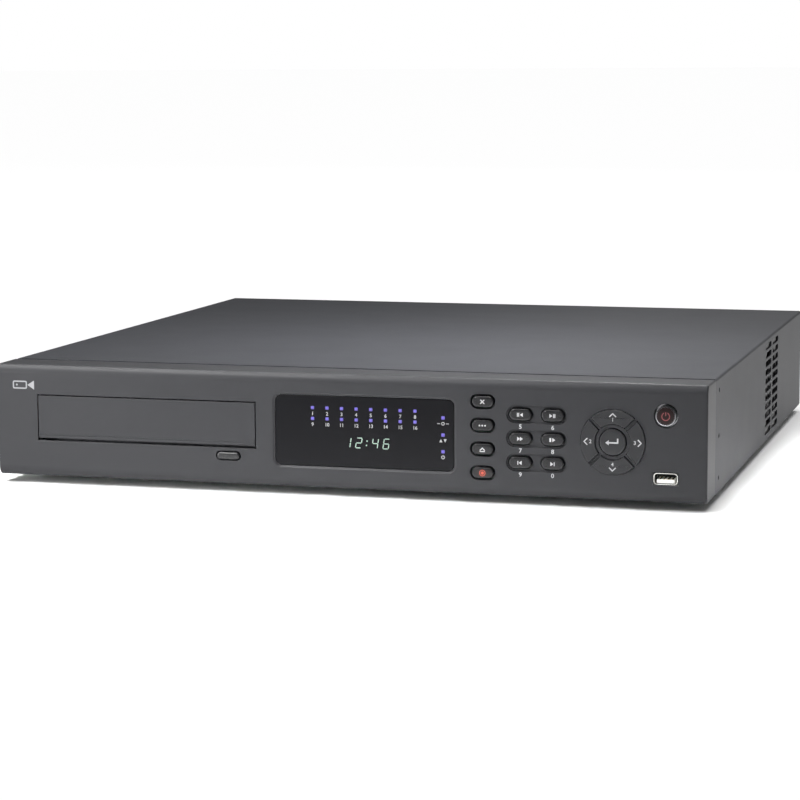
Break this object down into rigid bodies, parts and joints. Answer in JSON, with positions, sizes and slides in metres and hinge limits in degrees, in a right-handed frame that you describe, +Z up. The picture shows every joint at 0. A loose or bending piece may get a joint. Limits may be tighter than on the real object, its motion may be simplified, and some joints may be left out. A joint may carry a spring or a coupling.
{
  "type": "digital video recorder",
  "caption": "Low, wide video recorder: moulded charcoal front with disc tray, dark display window and keypad, sheet-metal case with side vents, rear sockets, four rubber feet.",
  "frame": {"origin": "under the middle of the whole recorder, on the surface that its feet stand on", "axes": "+Z up, front with its keys faces -Y, rear sockets face +Y, +X to the right as seen from the front"},
  "size_m": [0.44, 0.4456, 0.0737],
  "materials": {
    "bezel_plastic": "fine satin texture, dark charcoal",
    "case_paint": "fine powder coat, dark charcoal",
    "window_plastic": "polished dark tinted acrylic",
    "key_plastic": "semi-gloss black",
    "black_plastic": "moulded satin black",
    "zinc_sheet": "zinc-plated sheet",
    "bright_steel": "nickel-plated steel",
    "cast_aluminium": "cast and machined",
    "circuit_board": "green solder mask",
    "white_plastic": "moulded white",
    "green_plastic": "moulded green",
    "foot_rubber": "matt black rubber"
  },
  "bodies": {
    "case": {"front_bezel": "bezel_plastic", "display_window": "window_plastic", "lamp_mask": "black_plastic", "clock_module": "white_plastic", "display_board": "circuit_board", "key_board": "circuit_board", "front_usb_shell": "bright_steel", "front_usb_tongue": "white_plastic", "drive_case": "bright_steel", "chassis_base": "zinc_sheet", "top_cover": "case_paint", "rear_panel": "case_paint", "cover_screw_1": "bright_steel", "cover_screw_2": "bright_steel", "cover_screw_3": "bright_steel", "cover_screw_4": "bright_steel", "front_left_foot": "foot_rubber", "front_right_foot": "foot_rubber", "rear_left_foot": "foot_rubber", "rear_right_foot": "foot_rubber", "drive_rack": "zinc_sheet", "hard_drive_1": "cast_aluminium", "hard_drive_2": "cast_aluminium", "hard_drive_3": "cast_aluminium", "hard_drive_4": "cast_aluminium", "main_board": "circuit_board", "heat_sink": "cast_aluminium", "power_supply": "zinc_sheet", "mains_inlet": "black_plastic", "rocker_frame": "black_plastic", "fan_frame": "black_plastic", "video_inputs": "black_plastic", "audio_sockets": "black_plastic", "picture_port": "bright_steel", "rear_usb_port": "bright_steel", "network_port": "bright_steel", "monitor_port": "bright_steel", "alarm_board": "circuit_board", "alarm_terminals": "green_plastic"},
    "tray": {"disc_tray": "black_plastic", "tray_door": "bezel_plastic"},
    "escape_key_moving": {"escape_key": "key_plastic"},
    "function_key_moving": {"function_key": "key_plastic"},
    "shift_key_moving": {"shift_key": "key_plastic"},
    "record_key_moving": {"record_key": "key_plastic"},
    "reverse_key_moving": {"reverse_key": "key_plastic"},
    "play_key_moving": {"play_key": "key_plastic"},
    "fast_key_moving": {"fast_key": "key_plastic"},
    "slow_key_moving": {"slow_key": "key_plastic"},
    "previous_key_moving": {"previous_key": "key_plastic"},
    "next_key_moving": {"next_key": "key_plastic"},
    "right_key_moving": {"right_key": "key_plastic"},
    "up_key_moving": {"up_key": "key_plastic"},
    "left_key_moving": {"left_key": "key_plastic"},
    "down_key_moving": {"down_key": "key_plastic"},
    "enter_key_moving": {"enter_key": "key_plastic"},
    "power_button_moving": {"power_button": "key_plastic"},
    "eject_button_moving": {"eject_button": "key_plastic"},
    "fan_wheel": {"fan_rotor": "black_plastic"},
    "rocker": {"power_rocker": "black_plastic"}
  },
  "joints": [
    {"name": "tray_slide", "type": "slide", "parent": "case", "child": "tray", "axis": [0, -1, 0], "range_m": [0, 0.13]},
    {"name": "escape_key_press", "type": "slide", "parent": "case", "child": "escape_key_moving", "axis": [0, 1, 0], "range_m": [0, 0.0008], "stiffness_N_per_m": 1200},
    {"name": "function_key_press", "type": "slide", "parent": "case", "child": "function_key_moving", "axis": [0, 1, 0], "range_m": [0, 0.0008], "stiffness_N_per_m": 1200},
    {"name": "shift_key_press", "type": "slide", "parent": "case", "child": "shift_key_moving", "axis": [0, 1, 0], "range_m": [0, 0.0008], "stiffness_N_per_m": 1200},
    {"name": "record_key_press", "type": "slide", "parent": "case", "child": "record_key_moving", "axis": [0, 1, 0], "range_m": [0, 0.0008], "stiffness_N_per_m": 1200},
    {"name": "reverse_key_press", "type": "slide", "parent": "case", "child": "reverse_key_moving", "axis": [0, 1, 0], "range_m": [0, 0.0008], "stiffness_N_per_m": 1200},
    {"name": "play_key_press", "type": "slide", "parent": "case", "child": "play_key_moving", "axis": [0, 1, 0], "range_m": [0, 0.0008], "stiffness_N_per_m": 1200},
    {"name": "fast_key_press", "type": "slide", "parent": "case", "child": "fast_key_moving", "axis": [0, 1, 0], "range_m": [0, 0.0008], "stiffness_N_per_m": 1200},
    {"name": "slow_key_press", "type": "slide", "parent": "case", "child": "slow_key_moving", "axis": [0, 1, 0], "range_m": [0, 0.0008], "stiffness_N_per_m": 1200},
    {"name": "previous_key_press", "type": "slide", "parent": "case", "child": "previous_key_moving", "axis": [0, 1, 0], "range_m": [0, 0.0008], "stiffness_N_per_m": 1200},
    {"name": "next_key_press", "type": "slide", "parent": "case", "child": "next_key_moving", "axis": [0, 1, 0], "range_m": [0, 0.0008], "stiffness_N_per_m": 1200},
    {"name": "right_key_press", "type": "slide", "parent": "case", "child": "right_key_moving", "axis": [0, 1, 0], "range_m": [0, 0.0008], "stiffness_N_per_m": 1200},
    {"name": "up_key_press", "type": "slide", "parent": "case", "child": "up_key_moving", "axis": [0, 1, 0], "range_m": [0, 0.0008], "stiffness_N_per_m": 1200},
    {"name": "left_key_press", "type": "slide", "parent": "case", "child": "left_key_moving", "axis": [0, 1, 0], "range_m": [0, 0.0008], "stiffness_N_per_m": 1200},
    {"name": "down_key_press", "type": "slide", "parent": "case", "child": "down_key_moving", "axis": [0, 1, 0], "range_m": [0, 0.0008], "stiffness_N_per_m": 1200},
    {"name": "enter_key_press", "type": "slide", "parent": "case", "child": "enter_key_moving", "axis": [0, 1, 0], "range_m": [0, 0.0008], "stiffness_N_per_m": 1200},
    {"name": "power_button_press", "type": "slide", "parent": "case", "child": "power_button_moving", "axis": [0, 1, 0], "range_m": [0, 0.0008], "stiffness_N_per_m": 1200},
    {"name": "eject_button_press", "type": "slide", "parent": "case", "child": "eject_button_moving", "axis": [0, 1, 0], "range_m": [0, 0.0012], "stiffness_N_per_m": 900},
    {"name": "fan_spin", "type": "hinge", "parent": "case", "child": "fan_wheel", "pos_m": [0.2112, 0.05335, 0.03935], "axis": [1, 0, 0], "continuous": true},
    {"name": "rocker_tip", "type": "hinge", "parent": "case", "child": "rocker", "pos_m": [-0.125, 0.2119, 0.0263], "axis": [-1, 0, 0], "range_deg": [0, 20]}
  ]
}
